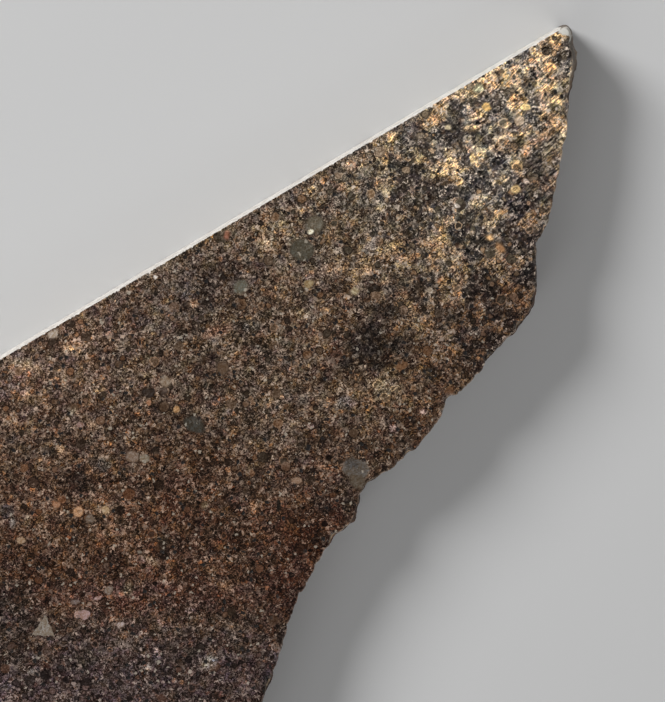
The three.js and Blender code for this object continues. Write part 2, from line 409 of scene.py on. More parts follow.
def add(tree, kind, inputs=(), **settings):
    # a new node: its settings, and for each input a value or another node's output
    made = tree.nodes.new(kind)
    for key, value in settings.items():
        setattr(made, key, value)
    for socket, value in dict(inputs).items():
        if isinstance(value, bpy.types.NodeSocket):
            tree.links.new(value, made.inputs[socket])
        else:
            made.inputs[socket].default_value = value
    return made


def maths(tree, operation, a, b=0.0, c=0.0, clamp=False):
    # one sum on numbers; MULTIPLY_ADD is a times b plus c
    made = add(tree, "ShaderNodeMath", {0: a, 1: b, 2: c}, operation=operation, use_clamp=clamp)
    return made.outputs[0]


def vectors(tree, operation, a, b=(0, 0, 0)):
    # one sum on vectors, as a vector, or as a number where the sum gives one
    made = add(tree, "ShaderNodeVectorMath", {0: a, 1: b}, operation=operation)
    return made.outputs["Value" if operation in ("DISTANCE", "DOT_PRODUCT") else "Vector"]


def scaled(tree, vector, by):
    # the vector times a number
    return vectors(tree, "MULTIPLY", vector, (by, by, by))


def noise(tree, where, size, detail=2.0, roughness=0.5, output="Factor"):
    # an uneven field about 0.5, with swells of the given size; as a colour, three fields at once
    made = add(tree, "ShaderNodeTexNoise",
               {"Vector": where, "Scale": 1 / size, "Detail": detail, "Roughness": roughness})
    return made.outputs["Color"] if output == "Color" else made.outputs[0]


def mapped(tree, where, turn, stretch=(1, 1, 1), location=(0, 0, 0)):
    # places on axes that are moved, turned by so many degrees and stretched
    return add(tree, "ShaderNodeMapping",
               {"Vector": where, "Location": location, "Rotation": [radians(t) for t in turn],
                "Scale": stretch}, vector_type="TEXTURE").outputs[0]


def cells(tree, where, size):
    # for each place the nearest of many scattered points: its distance and its own chance colour
    return add(tree, "ShaderNodeTexVoronoi", {"Vector": where, "Scale": 1 / size})


def between(tree, value, low, high, toLow=0.0, toHigh=1.0, smooth=True):
    # toLow at low, toHigh at high, and an S-curve or a straight line from one to the other
    made = add(tree, "ShaderNodeMapRange",
               {"Value": value, "From Min": low, "From Max": high, "To Min": toLow, "To Max": toHigh},
               interpolation_type="SMOOTHSTEP" if smooth else "LINEAR", clamp=not smooth)
    return made.outputs[0]


def blend(tree, factor, a, b, mode="MIX"):
    # colour a where the factor is nought and b where it is one
    made = add(tree, "ShaderNodeMix", {"Factor": factor}, data_type="RGBA", blend_type=mode)
    for socket, value in ((6, a), (7, b)):
        if isinstance(value, bpy.types.NodeSocket):
            tree.links.new(value, made.inputs[socket])
        else:
            made.inputs[socket].default_value = (*value, 1)
    return made.outputs[2]


def times(tree, a, b):
    # two colours multiplied
    return blend(tree, 1.0, a, b, "MULTIPLY")


def grey(tree, value):
    # a number as a colour
    return add(tree, "ShaderNodeCombineColor", {0: value, 1: value, 2: value}).outputs[0]


def ramp(tree, factor, stops, step=False):
    # colours at their places from nought to one, blended, or as steps
    made = add(tree, "ShaderNodeValToRGB", {0: factor})
    made.color_ramp.interpolation = "CONSTANT" if step else "LINEAR"
    for k, (at, colour) in enumerate(stops):
        element = made.color_ramp.elements[k] if k < 2 else made.color_ramp.elements.new(at)
        element.position, element.color = at, (*colour, 1)
    return made.outputs[0]


def parts(tree, colour, kind="ShaderNodeSeparateColor"):
    # the three numbers of a colour, or of a vector where kind says so
    made = add(tree, kind, {0: colour})
    return made.outputs[0], made.outputs[1], made.outputs[2]


def turnedFrame(tree, frames, turn):
    # places in mm from the sharp corner, on axes turned by so many degrees; a turn is made once
    if turn not in frames:
        corner = (zero[0], zero[1], slab["thickness"])
        frames[turn] = mapped(tree, frames["mm"], (0, 0, turn), location=corner)
    return frames[turn]


def reach(tree, frames, at, size, turn=0):
    # distance from a place on the polished face, counted in radii of the ellipse round it
    (x, y), (a, b) = at, size
    c, s = cos(radians(turn)), sin(radians(turn))
    middle = ((x * c + y * s) / a, (y * c - x * s) / b, 0)
    squeezed = vectors(tree, "MULTIPLY", turnedFrame(tree, frames, turn), (1 / a, 1 / b, 1 / max(a, b)))
    return vectors(tree, "DISTANCE", squeezed, middle)


def ellipse(tree, frames, at, size, turn=0, soft=0.5):
    # one inside an ellipse, nought outside, with a border as wide as soft times its radius
    return between(tree, reach(tree, frames, at, size, turn), 1 + soft, 1 - soft)


# Broad changes of tone over the slice: where, half-widths, turn, colour of the stone. The grey haze at
# the foot is a painted sheen laid into that colour.
tones = {
    "ground": (0.243, 0.19, 0.152),
    "sawnEdgeBand": ((-45, -3), (38, 6), 0, (0.298, 0.248, 0.206)),
    "leftEnd": ((-57, -3), (12, 6), 0, (0.327, 0.26, 0.215)),
    "leftMiddle": ((-62, -12), (10, 6), 15, (0.267, 0.206, 0.165)),
    "tipHalf": ((-11, -5), (16, 13), 15, (0.378, 0.339, 0.298)),
    "tip": ((-8, -5), (9, 7), 30, (0.478, 0.436, 0.392)),
    "tipRim": ((-11.2, -12.4), (5.5, 1.8), 45, (0.335, 0.287, 0.257)),
    "brightUpper": ((-28, -5), (4.5, 2), -30, (0.316, 0.272, 0.229)),
    "edgeShade": ((-39.6, -3.6), (5, 2), -15, (0.234, 0.193, 0.167)),
    "middle": ((-38, -16), (10, 6), 15, (0.284, 0.231, 0.19)),
    "oliveMiddle": ((-30.5, -19.7), (4.5, 2.2), -30, (0.295, 0.235, 0.184)),
    "rightRim": ((-18.5, -20), (5, 3.5), -15, (0.235, 0.189, 0.162)),
    "lowerRim": ((-45, -28), (9, 3.5), 45, (0.224, 0.166, 0.132)),
    "redBelt": ((-57.5, -20.5), (17, 5.5), -30, (0.224, 0.157, 0.119)),
    # painted sheen: the foot's grey haze is a soft reflection painted into the stone's colour
    "greySheenFoot": ((-65.3, -31.5), (21, 5.4), -30, (0.232, 0.188, 0.177)),
    "greyEnd": ((-56, -36), (7, 3.5), -30, (0.199, 0.156, 0.142)),
    "pinkBelt": ((-58.7, -25.2), (11, 1.4), -30, (0.248, 0.174, 0.144)),
    "redMiddle": ((-49.2, -17.2), (4.5, 2.4), -20, (0.238, 0.171, 0.127)),
    "warmLeft": ((-60.2, -16.6), (5, 2.2), -30, (0.292, 0.218, 0.167)),
    "deepRed": ((-43.8, -28.6), (3, 2.5), 0, (0.191, 0.12, 0.083)),
    "darkRim": ((-47.2, -31.3), (1.8, 2.6), 0, (0.177, 0.113, 0.086)),
    "farCorner": ((-71, -21.5), (3, 3.5), -30, (0.187, 0.148, 0.129)),
}

# Soft spots where the stone is lighter or darker: by how much, softness of the border, and for
# each spot its place and half-width.
shading = {
    "lighter": (1.24, 0.8, [
        (-26.8, -1.4, 1.1), (-35.6, -4.3, 1.2), (-34.8, -7.1, 1.1), (-30.7, -8.0, 1.2),
        (-15.7, -4.0, 1.0), (-21.9, -1.8, 1.0), (-51.8, -2.1, 1.2), (-58.7, -2.8, 1.7),
        (-45.2, -26.2, 1.5), (-60.4, -24.7, 1.3), (-9.7, -1.9, 0.9), (-12.5, -2.5, 0.9)]),
    "darker": (0.82, 0.8, [
        (-44.2, -1.5, 1.3), (-45.6, -5.7, 1.8), (-49.4, -5.8, 1.5), (-29.3, -16.4, 1.8),
        (-25.4, -11.8, 1.2), (-18.1, -14.6, 1.2), (-21.2, -17.4, 1.2), (-21.5, -9.7, 1.2),
        (-7.3, -1.0, 1.1), (-10.1, -6.6, 1.0), (-59.9, -7.1, 1.5), (-39.3, -26.9, 1.0),
        (-69.6, -19.0, 1.2)]),
}

# Patches of another hue that blur into the stone: colour, softness of the border, and for each
# patch its place, half-widths and turn.
patches = {
    "redBrown": ((0.22, 0.142, 0.108), 0.8, [
        (-52.4, -18.7, 0.6, 0.7, -30), (-50.6, -18.0, 1.6, 0.8, -30), (-60.8, -24.9, 2.2, 0.9, -30),
        (-55.1, -26.7, 1.4, 0.8, -30), (-32.9, -14.8, 0.6, 0.8, -30), (-69.8, -25.9, 0.6, 0.3, -45),
        (-45.4, -29.9, 0.8, 2.0, 0), (-40.3, -27.5, 0.7, 1.3, 0), (-45.0, -23.9, 0.7, 0.54, -30)]),
    "dark": ((0.275, 0.25, 0.225), 0.45, [
        (-20.5, -6.2, 0.7, 0.4, -30), (-12.0, -4.9, 0.8, 0.6, -30), (-9.1, -6.8, 0.8, 0.5, -30),
        (-9.0, -9.4, 0.54, 1.2, -45), (-10.2, -11.2, 0.7, 0.8, -30), (-12.8, -1.7, 0.5, 1.0, -30),
        (-21.6, -2.1, 0.8, 0.7, -30), (-23.8, -4.2, 0.5, 1.2, -30), (-5.7, -2.7, 0.7, 0.6, -30),
        (-2.7, -0.8, 0.5, 0.5, 0), (-10.3, -5.0, 0.5, 0.5, 0), (-38.2, -8.8, 0.7, 0.6, -30),
        (-55.9, -12.9, 0.6, 0.6, 0), (-14.2, -4.2, 0.7, 0.45, -30), (-25.4, -3.8, 0.6, 0.6, 0),
        (-15.4, -10.8, 1.1, 0.7, -30)]),
    "umber": ((0.18, 0.145, 0.12), 0.5, [
        (-17.2, -6.2, 1.8, 0.45, -30), (-18.7, -7.1, 0.8, 0.5, -30), (-39.9, -3.7, 0.8, 1.2, -30),
        (-39.0, -6.2, 1.3, 0.4, -30), (-59.5, -9.5, 1.0, 0.5, -30), (-60.9, -8.4, 0.8, 0.6, -30),
        (-54.8, -21.6, 0.5, 1.0, -30), (-22.4, -21.0, 0.8, 0.5, 15), (-18.1, -19.1, 0.7, 0.8, 15),
        (-66.3, -27.1, 1.1, 0.8, -30), (-57.9, -31.4, 0.7, 0.45, -30)]),
    "greyRim": ((0.34, 0.31, 0.282), 0.6, [
        (-3.0, -4.8, 0.7, 1.0, -30), (-4.7, -6.1, 0.8, 0.6, -30), (-6.4, -8.2, 0.5, 1.0, -60),
        (-7.8, -9.9, 0.6, 1.1, -60), (-10.0, -12.8, 0.5, 0.9, -60)]),
    "darkRed": ((0.135, 0.085, 0.06), 0.6, [
        (-66.7, -21.1, 0.4, 0.6, -30), (-34.7, -24.5, 0.5, 0.35, -30), (-42.5, -28.9, 0.6, 0.9, 0)]),
    "blackBelt": ((0.132, 0.113, 0.1), 0.6, [
        (-31.0, -15.2, 0.8, 1.2, -30), (-29.8, -16.4, 1.3, 0.9, -30), (-27.1, -13.8, 1.6, 0.65, -45),
        (-27.9, -17.0, 0.8, 0.7, -30), (-29.4, -14.7, 1.6, 0.8, -30), (-32.4, -16.1, 0.6, 0.5, -30),
        (-30.2, -17.6, 0.7, 0.6, -30)]),
    "black": ((0.145, 0.103, 0.082), 0.6, [
        (-58.5, -13.0, 0.8, 1.1, -60), (-42.5, -9.4, 0.3, 0.6, -45), (-68.2, -18.9, 0.6, 0.7, -30),
        (-40.7, -26.4, 0.6, 0.8, -30), (-51.4, -24.9, 0.7, 0.3, -45)]),
    "slate": ((0.222, 0.19, 0.17), 0.4, [
        (-47.1, -13.9, 0.8, 0.5, -60), (-65.6, -12.1, 0.6, 0.7, -30), (-59.5, -1.6, 0.6, 0.4, -30)]),
    "olive": ((0.38, 0.33, 0.265), 0.7, [
        (-9.8, -0.8, 0.7, 0.5, 0), (-30.5, -19.7, 1.3, 1.2, -30), (-31.8, -8.2, 0.45, 0.45, 0),
        (-64.4, -13.7, 0.3, 0.5, -30), (-33.7, -10.1, 0.8, 0.5, -30), (-50.0, -20.7, 0.3, 0.3, -30),
        (-59.8, -23.7, 0.5, 0.6, -30), (-55.9, -7.4, 0.5, 0.4, -30)]),
    "orange": ((0.54, 0.435, 0.35), 0.5, [
        (-8.9, -7.8, 0.45, 0.54, -15), (-6.3, -7.4, 1.8, 0.4, 0), (-24.8, -2.2, 0.36, 0.36, 0),
        (-23.2, -1.0, 0.6, 0.4, -30), (-23.4, -10.5, 0.54, 0.36, -30), (-9.1, -11.6, 0.32, 0.4, -30),
        (-26.5, -9.8, 0.3, 0.54, -15)]),
    "rust": ((0.42, 0.31, 0.235), 0.6, [
        (-41.1, -7.6, 1.4, 0.5, -15), (-57.3, -12.5, 0.3, 0.54, -15), (-58.2, -18.2, 0.45, 0.54, -30),
        (-51.2, -24.0, 0.36, 0.36, 0), (-52.2, -28.1, 0.5, 0.63, -15), (-38.9, -23.4, 0.8, 0.16, -45),
        (-46.3, -22.9, 0.3, 0.5, 0)]),
    "tan": ((0.49, 0.405, 0.325), 0.6, [
        (-29.4, -8.0, 1.0, 0.54, -15), (-25.7, -11.5, 0.45, 0.4, 0), (-56.9, -22.4, 0.72, 0.32, -60),
        (-41.6, -4.5, 0.5, 0.4, -30), (-20.5, -10.6, 1.2, 0.4, -30), (-55.2, -4.6, 0.3, 0.5, -30)]),
    "paleTan": ((0.6, 0.5, 0.4), 0.7, [
        (-57.2, -1.7, 1.4, 0.45, -45), (-33.2, -3.2, 0.6, 0.8, -15), (-53.5, -2.1, 0.35, 0.45, -30)]),
    "ochre": ((0.46, 0.35, 0.255), 0.6, [
        (-55.0, -9.3, 0.45, 0.54, -30), (-58.6, -9.8, 0.36, 0.54, -30), (-55.2, -13.6, 0.3, 0.6, -30),
        (-44.3, -16.2, 0.4, 0.5, -30)]),
    "gold": ((0.7, 0.6, 0.47), 0.5, [
        (-3.3, -2.6, 0.63, 0.45, 15), (-6.2, -0.9, 0.36, 0.45, -30), (-8.4, -1.2, 0.32, 0.36, 0),
        (-10.4, -8.5, 0.45, 0.54, -30), (-15.7, -5.4, 0.9, 0.27, -45), (-21.7, -4.8, 0.36, 0.4, 0),
        (-12.3, -3.5, 0.54, 0.36, -30), (-9.1, -5.0, 0.36, 0.27, -30), (-18.6, -0.7, 0.4, 0.49, -30)]),
    "paleGrey": ((0.41, 0.375, 0.35), 0.5, [
        (-24.8, -8.1, 0.4, 0.72, -60), (-6.6, -9.1, 0.63, 0.63, 0), (-34.3, -19.2, 0.8, 0.58, -30),
        (-65.7, -13.3, 0.27, 0.45, -30), (-56.9, -33.3, 0.72, 0.63, 0), (-62.0, -30.9, 0.45, 0.36, 0),
        (-71.2, -25.7, 0.45, 0.27, -30), (-70.3, -24.7, 0.27, 0.36, -30), (-17.0, -1.0, 0.72, 0.45, 0),
        (-16.6, -2.2, 0.5, 0.45, -30), (-19.6, -0.3, 0.5, 0.4, -30), (-2.8, -3.5, 0.6, 0.8, -30)]),
    "pink": ((0.49, 0.395, 0.36), 0.45, [
        (-58.9, -27.8, 0.27, 0.27, 0), (-56.1, -28.2, 0.36, 0.27, -30), (-60.5, -30.1, 0.27, 0.45, -30),
        (-61.2, -26.5, 0.36, 0.27, -30), (-28.7, -23.4, 0.32, 0.27, 0), (-38.1, -19.3, 0.27, 0.31, 0),
        (-31.8, -23.4, 0.45, 0.36, -30)]),
}

# Grains with a clear border: place, half-widths, turn, colour, softness, and how much lighter
# or darker the ring round them is.
grains = {
    "greenClast": ((-30.8, -5.3), (1.12, 1.0), -30, (0.315, 0.295, 0.248), 0.12, 0.9),
    "blueGreyClast": ((-47.1, -13.9), (1.05, 0.72), -60, (0.262, 0.249, 0.22), 0.25, 0.85),
    "notchClast": ((-36.6, -24.8), (1.25, 0.95), -45, (0.36, 0.333, 0.302), 0.15, 1.1),
    "notchFoot": ((-37.1, -25.9), (0.85, 0.6), -60, (0.34, 0.3, 0.25), 0.35, 1.0),
    "notchShade": ((-36.7, -24.1), (0.6, 0.5), -30, (0.297, 0.278, 0.257), 0.5, 1.0),
    "darkRound": ((-49.2, -9.3), (0.62, 0.48), -30, (0.225, 0.19, 0.165), 0.15, 0.7),
    "darkNeighbour": ((-47.9, -9.9), (0.4, 0.36), 0, (0.262, 0.214, 0.181), 0.3, 0.9),
    "brownRound": ((-42.3, -10.8), (0.62, 0.62), 0, (0.378, 0.308, 0.247), 0.15, 0.75),
    "ringedGrey": ((-37.2, -5.3), (0.7, 0.64), 0, (0.385, 0.372, 0.322), 0.35, 1.15),
    "greenishRound": ((-28.6, -3.9), (0.95, 0.9), -30, (0.405, 0.377, 0.322), 0.4, 0.75),
    "redSpot": ((-35.9, -0.75), (0.3, 0.46), -30, (0.575, 0.39, 0.31), 0.6, 1.0),
    "orangeTip": ((-15.3, -14.2), (0.6, 0.36), -75, (0.63, 0.48, 0.35), 0.6, 1.0),
    "goldTipLow": ((-15.6, -12.9), (0.42, 0.36), -30, (0.94, 0.76, 0.548), 0.6, 1.0),
    "creamUpper": ((-13.9, -2.4), (0.34, 0.28), -30, (0.89, 0.835, 0.7), 0.6, 1.0),
    "lightTan": ((-53.3, -13.6), (0.65, 0.55), -30, (0.485, 0.412, 0.35), 0.15, 0.85),
    "lightGrey": ((-52.5, -14.3), (0.46, 0.42), 0, (0.52, 0.473, 0.405), 0.2, 0.8),
    "greyCream": ((-47.3, -9.2), (0.5, 0.56), -30, (0.529, 0.459, 0.383), 0.3, 1.0),
    "goldRound": ((-60.1, -15.4), (0.5, 0.5), 0, (0.72, 0.556, 0.418), 0.2, 0.8),
    "creamRound": ((-57.9, -16.5), (0.38, 0.42), 0, (0.68, 0.58, 0.45), 0.25, 1.0),
    "greyRound": ((-59.5, -16.5), (0.43, 0.45), 0, (0.45, 0.395, 0.345), 0.2, 0.8),
    "orangePink": ((-61.5, -13.8), (0.45, 0.36), -30, (0.616, 0.456, 0.346), 0.35, 1.0),
    "greyFootGrain": ((-61.4, -22.9), (0.45, 0.4), 0, (0.49, 0.43, 0.38), 0.2, 0.75),
    "tanFootGrain": ((-63.5, -23.1), (0.28, 0.26), 0, (0.525, 0.433, 0.367), 0.2, 0.75),
    "paleFootGrain": ((-64.5, -22.3), (0.42, 0.28), -30, (0.448, 0.389, 0.358), 0.2, 0.8),
    "pinkLobe": ((-64.9, -23.4), (0.36, 0.33), 0, (0.645, 0.527, 0.473), 0.15, 0.9),
    "pinkGrain": ((-64.4, -23.7), (0.52, 0.47), -30, (0.61, 0.5, 0.465), 0.15, 0.9),
    "whitePink": ((-62.1, -26.2), (0.45, 0.31), -30, (0.642, 0.575, 0.537), 0.25, 0.9),
    "pinkSplash": ((-62.6, -23.0), (0.36, 0.2), -15, (0.62, 0.512, 0.483), 0.3, 1.0),
    "pinkNearGrey": ((-55.9, -8.7), (0.36, 0.32), 0, (0.552, 0.441, 0.395), 0.25, 0.9),
    "creamTip": ((-7.0, -4.4), (0.45, 0.36), -30, (0.96, 0.86, 0.62), 0.3, 1.0),
    "creamSquare": ((-11.5, -10.3), (0.45, 0.4), 0, (0.84, 0.73, 0.535), 0.3, 1.0),
    "creamStreak": ((-13.4, -5.9), (0.27, 0.54), -30, (0.87, 0.76, 0.55), 0.35, 1.0),
    "goldTip": ((-10.0, -2.6), (0.42, 0.45), 0, (0.85, 0.7, 0.45), 0.35, 1.0),
    "greenishTip": ((-9.8, -0.8), (0.55, 0.42), 0, (0.75, 0.745, 0.62), 0.35, 1.0),
    "whiteYellow": ((-29.3, -4.3), (0.3, 0.3), 0, (0.92, 0.886, 0.765), 0.3, 1.0),
    "whiteSpeck": ((-16.8, -8.9), (0.25, 0.25), 0, (0.78, 0.75, 0.72), 0.3, 1.0),
    "pinkSpeck": ((-10.3, -10.2), (0.23, 0.29), -30, (0.72, 0.66, 0.62), 0.3, 1.0),
    "creamEdge": ((-53.8, -0.4), (0.6, 0.4), 0, (0.69, 0.63, 0.56), 0.3, 1.0),
    "whiteSmall": ((-22.7, -14.3), (0.28, 0.28), 0, (0.66, 0.61, 0.55), 0.3, 1.0),
    "creamSpeck": ((-33.5, -10.6), (0.2, 0.2), 0, (0.8, 0.72, 0.63), 0.3, 1.0),
    "edgeSpeck": ((-43.3, -0.7), (0.22, 0.22), 0, (0.84, 0.79, 0.73), 0.3, 1.0),
    "orangeSpeck": ((-49.6, -10.1), (0.25, 0.25), 0, (0.62, 0.45, 0.34), 0.3, 1.0),
    "goldSpeck": ((-47.8, -11.9), (0.32, 0.32), 0, (0.67, 0.52, 0.36), 0.3, 1.0),
    "oliveGrain": ((-31.8, -8.2), (0.42, 0.42), 0, (0.58, 0.5, 0.37), 0.25, 0.9),
    "creamOlive": ((-28.5, -10.9), (0.4, 0.4), 0, (0.62, 0.56, 0.44), 0.4, 1.0),
    "creamLeft": ((-65.8, -15.0), (0.45, 0.3), -30, (0.6, 0.5, 0.4), 0.3, 1.0),
    "tanLow": ((-41.7, -23.0), (0.52, 0.36), -15, (0.56, 0.46, 0.38), 0.35, 1.0),
    "darkCrescent": ((-44.3, -24.1), (0.2, 0.65), -30, (0.11, 0.095, 0.075), 0.35, 1.0),
    "pit": ((-38.2, -22.7), (0.29, 0.36), -30, (0.09, 0.06, 0.04), 0.3, 1.0),
}
# the three-cornered grain; soft is the softness of its border
wedge = {
    "at": (-68.2, -22.95), "size": (0.66, 0.62), "turn": 24, "soft": 0.08,
    "colour": (0.52, 0.48, 0.43),
}

# The stone between them. Sizes are in mm, and depths are how far lightness strays either way.
# A pair of limits says where something begins to show and where it shows in full.
grainwork = {
    "warp": 0.42, "warpSize": 0.45,  # how far and how finely the grains' borders wander
    "grainWarp": 0.42, "grainWarpSize": 0.65,  # those of the named grains
    "ragged": 1.0, "raggedSize": 0.28,  # and those of the flecks
    "toneSoft": 0.6, "patchCover": 0.85, "spotShape": (0.75, -30),  # a spot's height and turn
    "tipSide": (34, 14), "goldenSide": (46, 14), "tipEnd": (26, 6),  # distances from the corner
    "cloud": 2.3, "cloudDepth": 1.12,
    "drift": 1.1, "warmDrift": (0.26, -0.5), "greenDrift": 0.22,  # soft changes of hue
    "mosaic": 0.5, "mosaicEdge": (0.62, 0.36),
    "clast": 1.7, "clastEdge": (0.41, 0.57), "clastLight": (-0.56, 0.36),  # at the tip
    "tipNet": 0.16, "brightest": 0.44,
    "inPatch": {"cloud": 0.3, "mosaic": 0.5, "chondrules": 0.45},  # what is left of each there
    "largeChondrules": {"cell": 1.35, "share": 0.52, "border": 0.055, "shift": (23, 23, 23)},
    "smallChondrules": {"cell": 0.8, "share": 0.62, "border": 0.08, "shift": (5, 31, 17)},
    "radius": (0.12, 0.45),  # of a chondrule, against the cell it lies in
    "darkRing": (0.46, 0.44, 0.42), "darkLuck": (0.45, 0.5),
    "paleRing": (1.8, 1.74, 1.64), "paleLuck": (0.34, 0.29),
    "fine": 0.2, "fineDepth": 0.95,
    "dust": 0.13, "dustDepth": 2.9, "tipDust": 0.5,  # at the tip the dust is weaker by this share
    "stroke": 0.085, "strokeTurn": 11, "strokeLength": 8, "strokeDepth": (0.7, 3.0),  # saw marks
    "dash": (0.67, 0.78), "dashCover": 0.8, "dashColour": (0.84, 0.81, 0.76),
    "darkStone": (-0.7, 0.62),  # at this lightness, so much of the fine grains is left
    # dust, strokes and fine grains are weaker on chondrules and named grains, at the tip less so
    "chondruleCalm": 0.65, "grainCalm": 0.8, "tipLessCalm": 0.25, "calmest": 0.2,
    "lightest": 0.66, "tipLightest": 0.54, "contrast": 1.14, "contrastFrom": -0.17,
    # hue of light and of dark stone, first far from the tip and then near it
    "lightHue": ((0.98, 1.01, 1.01), (1.05, 1.0, 0.885)),
    "darkHue": ((1.02, 0.98, 0.96), (0.965, 0.995, 1.08)), "hueRange": 0.55, "hueFine": 0.25,
    "shineHue": ((0.97, 1.0, 1.06), (1.01, 1.0, 0.98)), "shadeHue": (1.04, 0.99, 0.94),
    "shineRange": 0.6,
    "fleck": 0.32, "fleckShare": 0.5, "fleckRadius": (0.36, 0.66), "fleckEdge": 0.14,
    "fleckColour": (0.7, 0.66, 0.62),
    "fleckOwn": 0.6, "fleckLight": 1.75,  # how much is the stone's own colour, and how much lighter
    "crowd": 0.6, "crowdEdge": (0.6, 0.78), "crowdLeast": 0.15,
    "thread": 0.34, "threadEdge": (0.075, 0.025), "threadCover": 0.75,
    "threadLength": 0.3, "threadEnds": (0.55, 0.62),
    "speckShare": 0.008, "speckCover": 0.7, "speckColour": (0.7, 0.66, 0.6),
    "pitLuck": (0.94, 0.95), "pitEdge": (0.38, 0.26), "pitCover": 0.9,
    "pitColour": (0.065, 0.052, 0.045),
    "shifts": ((41, 7, 3), (9, 3, 5), (3, 17, 29)),  # so that no two fields are alike
}
# a grain's hue, by chance
grainHues = [
    (0.0, (0.94, 0.99, 1.02)), (0.3, (1.0, 1.0, 1.0)), (0.65, (1.0, 0.99, 0.97)),
    (0.86, (1.05, 1.01, 0.92)), (1.0, (1.07, 0.985, 0.91))]
# a grain's lightness and hue against the stone round it, by chance
grainKinds = [
    (0.0, (0.54, 0.525, 0.51)), (0.05, (0.72, 0.71, 0.7)), (0.13, (0.87, 0.865, 0.86)),
    (0.3, (0.97, 0.96, 0.95)), (0.52, (1.06, 1.05, 1.03)), (0.74, (1.15, 1.13, 1.1)),
    (0.88, (1.36, 1.32, 1.25)), (0.935, (1.4, 1.28, 1.13)), (0.96, (1.46, 1.35, 1.26)),
    (0.975, (1.7, 1.58, 1.4)), (0.99, (1.36, 1.2, 1.1))]
# the same for the chondrules
chondruleShades = [
    (0.0, (0.68, 0.68, 0.66)), (0.2, (0.84, 0.87, 0.84)), (0.36, (1.22, 1.21, 1.15)),
    (0.52, (0.96, 0.97, 0.97)), (0.62, (1.42, 1.3, 1.15)), (0.78, (1.52, 1.49, 1.44)),
    (0.94, (0.56, 0.55, 0.54))]


def toneField(tree, where):
    # the ground's colour with the broad tones laid over it in turn
    frames = {"mm": where}
    colour = tones["ground"]
    for name, tone in tones.items():
        if name != "ground":
            at, size, turn, shade = tone
            mask = ellipse(tree, frames, at, size, turn, grainwork["toneSoft"])
            colour = blend(tree, mask, colour, shade)
    return colour


def addPatches(tree, frames, tone):
    # the tone with its lighter and darker spots and the patches in it, and a mask of the patches
    tall, turn = grainwork["spotShape"]
    for change, soft, spots in shading.values():
        mask = 0.0
        for x, y, size in spots:
            spot = ellipse(tree, frames, (x, y), (size, tall * size), turn, soft)
            mask = maths(tree, "MAXIMUM", mask, spot)
        tone = times(tree, tone, grey(tree, maths(tree, "MULTIPLY_ADD", mask, change - 1, 1.0)))
    everywhere = 0.0
    for shade, soft, spots in patches.values():
        mask = 0.0
        for x, y, a, b, turn in spots:
            mask = maths(tree, "MAXIMUM", mask, ellipse(tree, frames, (x, y), (a, b), turn, soft))
        tone = blend(tree, maths(tree, "MULTIPLY", mask, grainwork["patchCover"]), tone, shade)
        everywhere = maths(tree, "MAXIMUM", everywhere, mask)
    return tone, everywhere


def addGrains(tree, frames, tone):
    # colour of the grains with a border, and a mask of where they are. The wedge lies inside
    # three lines round its middle, and the others are ellipses
    at, size, turn, soft = wedge["at"], wedge["size"], wedge["turn"], wedge["soft"]
    c, s = cos(radians(turn)), sin(radians(turn))
    middle = (at[0] * c + at[1] * s, at[1] * c - at[0] * s)
    far = 0.0
    for side in (0, 120, 240):
        facing = (sin(radians(side)) / size[0], cos(radians(side)) / size[1])
        offset = facing[0] * middle[0] + facing[1] * middle[1]
        along = vectors(tree, "DOT_PRODUCT", turnedFrame(tree, frames, turn), (*facing, 0))
        far = maths(tree, "MAXIMUM", far, maths(tree, "SUBTRACT", along, offset))
    everywhere = between(tree, far, 1 + soft, 1 - soft)
    colour = blend(tree, everywhere, tone, wedge["colour"])
    for at, size, turn, shade, soft, rim in grains.values():
        away = reach(tree, frames, at, size, turn)
        mask = between(tree, away, 1 + soft, 1 - soft)
        if rim != 1.0:
            shade = blend(tree, between(tree, away, 0.7, 0.95), shade, tuple(rim * c for c in shade))
        colour = blend(tree, mask, colour, shade)
        everywhere = maths(tree, "MAXIMUM", everywhere, mask)
    return colour, everywhere


def wander(tree, where, size, far):
    # places pushed about by an uneven field of the given size
    sway = parts(tree, noise(tree, where, size, 2, 0.6, "Color"))
    sway = add(tree, "ShaderNodeCombineXYZ", dict(enumerate(sway))).outputs[0]
    sway = vectors(tree, "SUBTRACT", sway, (0.5, 0.5, 0.5))
    return vectors(tree, "ADD", where, scaled(tree, sway, far))


def addChondrules(tree, where, tone, colour, kind, shown):
    # Round grains, cut wherever the surface meets them: a ball in some of the cells, with its
    # radius and its shade by chance, and a thin dark or pale ring round some of the balls.
    kind = grainwork[kind]
    found = cells(tree, vectors(tree, "ADD", where, kind["shift"]), kind["cell"])
    rare, sort, luck = parts(tree, found.outputs["Color"])
    radius = between(tree, rare, 1 - kind["share"], 1.0, *grainwork["radius"], smooth=False)
    radius = maths(tree, "MULTIPLY", radius, maths(tree, "GREATER_THAN", rare, 1 - kind["share"]))
    inside = maths(tree, "SUBTRACT", radius, found.outputs["Distance"])
    border = kind["border"]
    ball = maths(tree, "MULTIPLY", between(tree, inside, 0.0, border), shown)
    colour = blend(tree, ball, colour, times(tree, tone, ramp(tree, sort, chondruleShades, step=True)))
    ring = between(tree, maths(tree, "ABSOLUTE", maths(tree, "SUBTRACT", inside, border)), border, 0.0)
    dark = maths(tree, "MULTIPLY", ring, between(tree, luck, *grainwork["darkLuck"]))
    colour = blend(tree, dark, colour, times(tree, tone, grainwork["darkRing"]))
    pale = maths(tree, "MULTIPLY", ring, between(tree, luck, *grainwork["paleLuck"]))
    return blend(tree, pale, colour, times(tree, tone, grainwork["paleRing"])), ball


def nearTip(tree, along, distances):
    # nought and one at two distances along the sawn edge from the sharp corner
    return between(tree, along, *(zero[0] - distance for distance in distances))


